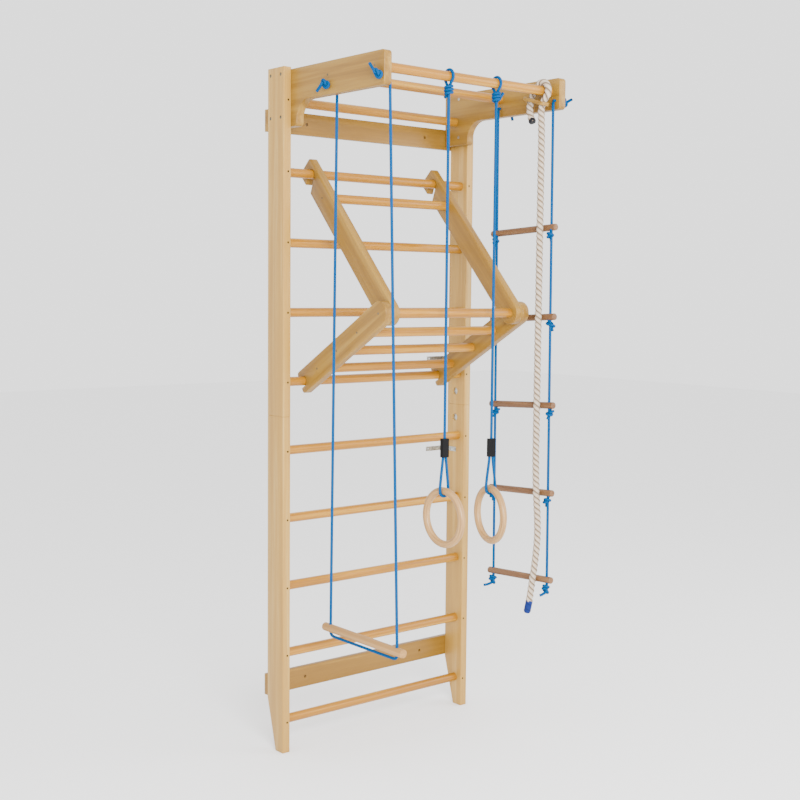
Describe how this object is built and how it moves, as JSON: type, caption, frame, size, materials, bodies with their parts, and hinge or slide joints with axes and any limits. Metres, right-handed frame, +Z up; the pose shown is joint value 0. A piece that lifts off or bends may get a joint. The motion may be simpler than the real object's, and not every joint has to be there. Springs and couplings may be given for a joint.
{
  "type": "indoor wall-bars gym",
  "caption": "Wooden wall-bars gym with a monkey-bar overhang, hook-on pull-up unit, trapeze, gym rings, rope ladder and climbing rope.",
  "frame": {"origin": "on the floor, in the wall plane behind the crossboards, half way across the width", "axes": "+X to the right seen from the front, -Y out of the wall towards the user, +Z up"},
  "size_m": [0.8, 0.647, 2.2],
  "materials": {
    "pine": "clear lacquered pine, satin",
    "beech": "clear lacquered beech, satin",
    "blue_rope": "braided cord",
    "white_rope": "three-strand twisted rope",
    "blue_tape": "wrapped tape",
    "black_plastic": "moulded",
    "zinc_steel": "zinc plated",
    "dark_screw": "dark plated"
  },
  "bodies": {
    "frame": {"left_upright_upper": "pine", "left_upright_lower": "pine", "right_upright_upper": "pine", "right_upright_lower": "pine", "rung_1": "pine", "rung_2": "pine", "rung_3": "pine", "rung_4": "pine", "rung_5": "pine", "rung_6": "pine", "rung_7": "pine", "rung_8": "pine", "rung_9": "pine", "rung_10": "pine", "rung_screws": "dark_screw", "splice_bolts": "zinc_steel", "splice_nuts": "zinc_steel", "top_board": "pine", "bottom_board": "pine", "board_screws": "zinc_steel", "left_panel": "pine", "right_panel": "pine", "panel_bolts": "dark_screw", "panel_nuts": "zinc_steel", "front_bar": "pine", "rear_bar": "pine", "bar_screws": "dark_screw", "wall_brackets": "zinc_steel", "bracket_screws": "zinc_steel", "panel_rope_ends": "blue_rope"},
    "pull_up_unit": {"left_upper_arm": "pine", "right_upper_arm": "pine", "left_lower_arm": "pine", "right_lower_arm": "pine", "upper_cross_bar": "pine", "elbow_bar": "pine", "lower_bar_1": "pine", "lower_bar_2": "pine", "lower_bar_3": "pine", "unit_screws": "dark_screw"},
    "trapeze": {"trapeze_bar": "beech", "trapeze_rope": "blue_rope"},
    "ring_hanger_left": {"ring_rope_left": "blue_rope"},
    "ring_hanger_right": {"ring_rope_right": "blue_rope"},
    "ring_left_hang": {"adjuster_left": "black_plastic", "ring_loop_left": "blue_rope", "ring_left": "beech"},
    "ring_right_hang": {"adjuster_right": "black_plastic", "ring_loop_right": "blue_rope", "ring_right": "beech"},
    "rope_ladder": {"ladder_rung_1": "beech", "ladder_rung_2": "beech", "ladder_rung_3": "beech", "ladder_rung_4": "beech", "ladder_rung_5": "beech", "ladder_rope_front": "blue_rope", "ladder_rope_rear": "blue_rope"},
    "climbing_rope_hang": {"climbing_rope": "white_rope", "rope_toggle": "beech", "rope_tape": "blue_tape"}
  },
  "joints": [
    {"name": "pull_up_unit_unhook", "type": "hinge", "parent": "frame", "child": "pull_up_unit", "pos_m": [0, 0.414, 2.052], "axis": [-1, 0, 0], "range_deg": [0, 3.9]},
    {"name": "trapeze_swing", "type": "hinge", "parent": "frame", "child": "trapeze", "pos_m": [-0.3355, -0.431, 2.122], "axis": [0, 1, 0], "range_deg": [-2, 6]},
    {"name": "ladder_swing", "type": "hinge", "parent": "frame", "child": "rope_ladder", "pos_m": [0.3355, -0.431, 2.122], "axis": [0, -1, 0], "range_deg": [0, 6]},
    {"name": "ring_left_swing", "type": "hinge", "parent": "frame", "child": "ring_hanger_left", "pos_m": [-0.088, -0.534, 2.153], "axis": [-1, 0, 0], "range_deg": [-3.5, 45]},
    {"name": "ring_right_swing", "type": "hinge", "parent": "frame", "child": "ring_hanger_right", "pos_m": [0.109, -0.534, 2.153], "axis": [-1, 0, 0], "range_deg": [-3.5, 45]},
    {"name": "ring_left_turn", "type": "hinge", "parent": "ring_hanger_left", "child": "ring_left_hang", "pos_m": [-0.088, -0.534, 1.04], "axis": [0, 0, 1], "range_deg": [-90, 90]},
    {"name": "ring_right_turn", "type": "hinge", "parent": "ring_hanger_right", "child": "ring_right_hang", "pos_m": [0.109, -0.534, 1.04], "axis": [0, 0, 1], "range_deg": [-77, 103]},
    {"name": "climbing_rope_swing", "type": "hinge", "parent": "frame", "child": "climbing_rope_hang", "pos_m": [0.311, -0.534, 2.153], "axis": [-1, 0, 0], "range_deg": [-1.2, 45]}
  ]
}
